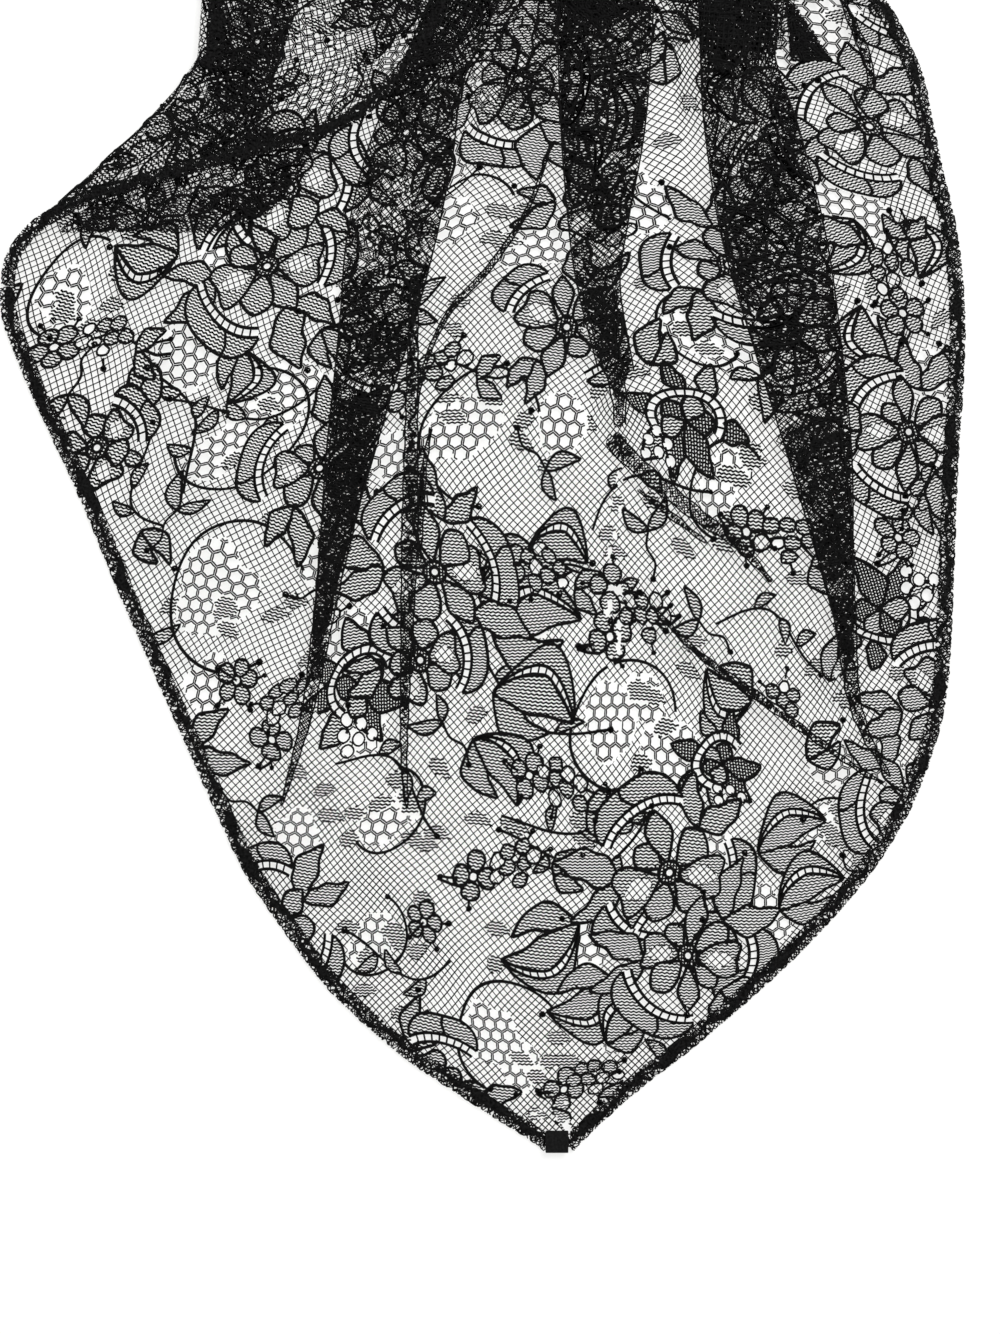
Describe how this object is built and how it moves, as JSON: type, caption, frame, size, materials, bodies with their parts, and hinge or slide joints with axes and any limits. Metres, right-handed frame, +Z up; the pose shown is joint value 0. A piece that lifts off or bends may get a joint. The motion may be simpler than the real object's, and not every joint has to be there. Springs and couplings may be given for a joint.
{
  "type": "lace bandana",
  "caption": "Black floral lace triangle with narrow hems, laid flat with its two ends drawn up into pleats and knotted, worn over the hair or round the neck.",
  "frame": {"origin": "middle of the laid cloth's length and width, on the surface that it lies on", "axes": "+Y from the pointed tip towards the knot, +X to the right as seen from above with the tip nearest, +Z up out of the cloth"},
  "size_m": [0.2698, 0.4432, 0.0156],
  "materials": {
    "lace": "matt black floral lace on a fine net",
    "hem": "matt black turned hem"
  },
  "bodies": {
    "root": {"cloth_panel": "lace", "left_tuck": "lace", "left_end": "lace", "right_end": "lace", "gathered_neck": "lace", "knot": "lace", "tail_left": "lace", "tail_right": "lace", "hem_left": "hem", "hem_right": "hem", "hem_left_end": "hem", "hem_left_side": "hem", "tip_tab": "hem"}
  },
  "joints": []
}
